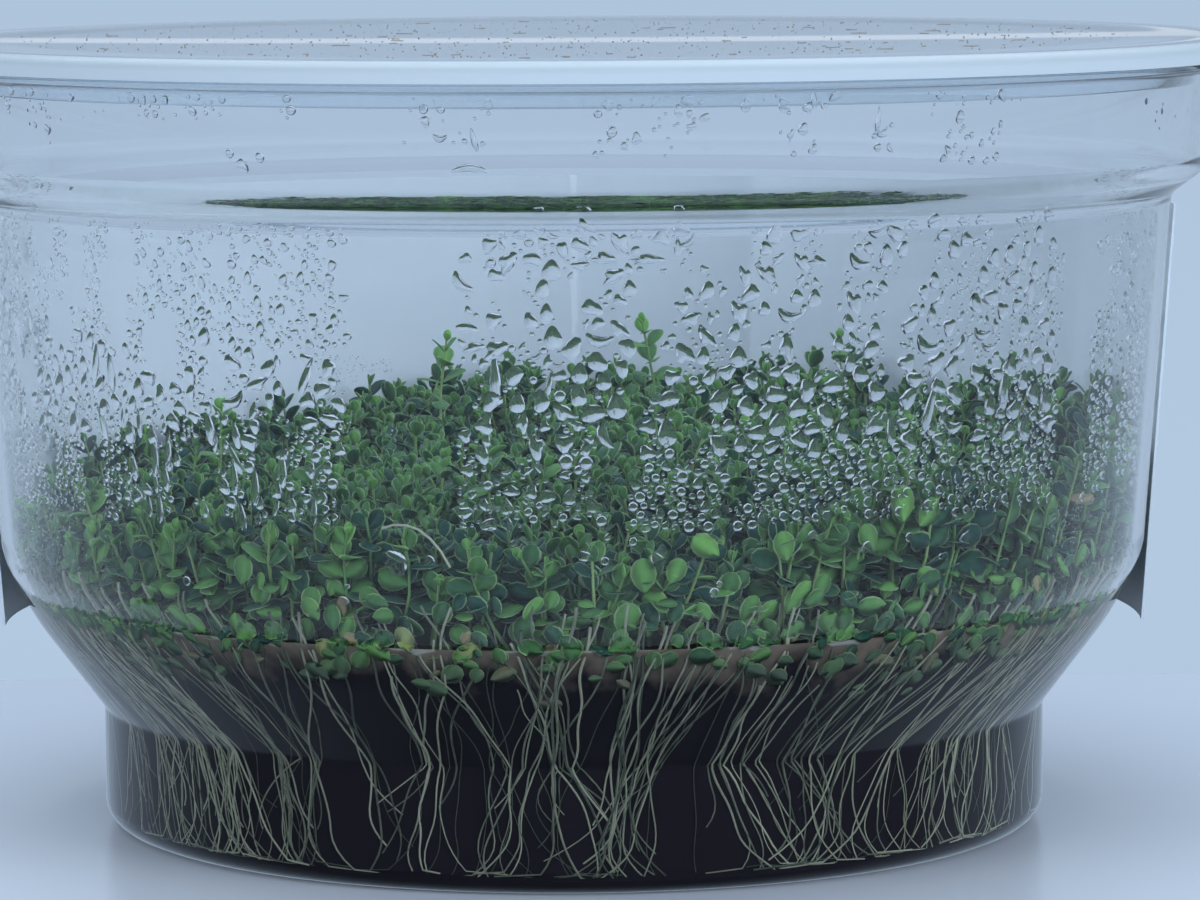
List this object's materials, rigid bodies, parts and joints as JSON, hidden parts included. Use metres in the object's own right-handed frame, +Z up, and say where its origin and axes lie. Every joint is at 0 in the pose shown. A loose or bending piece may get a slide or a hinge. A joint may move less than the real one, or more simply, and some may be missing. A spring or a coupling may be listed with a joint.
{
  "type": "tissue culture dwarf baby tears",
  "caption": "Clear lidded culture cup holding dark gel, a carpet of small round-leaved aquatic plants and their pale roots against the wall.",
  "frame": {"origin": "middle of the cup's base, on the surface that it stands on", "axes": "+Z up along the cup's axis, -Y towards the front that the label leaves clear"},
  "size_m": [0.1142, 0.1142, 0.0663],
  "materials": {
    "clear_cup": "clear injection-moulded polypropylene, glossy, with condensation inside",
    "clear_lid": "clear thermoformed lid, glossy, lightly dusty on top",
    "label_film": "blank white label film, satin",
    "nutrient_gel": "dark set nutrient gel, wet gloss",
    "plant": "fresh green leaf and pale roots, satin"
  },
  "bodies": {
    "root": {"vessel": "clear_cup", "lid": "clear_lid", "label": "label_film", "gel": "nutrient_gel", "clump_centre": "plant", "clump_1": "plant", "clump_2": "plant", "clump_3": "plant", "clump_4": "plant", "clump_5": "plant", "clump_6": "plant"}
  },
  "joints": []
}
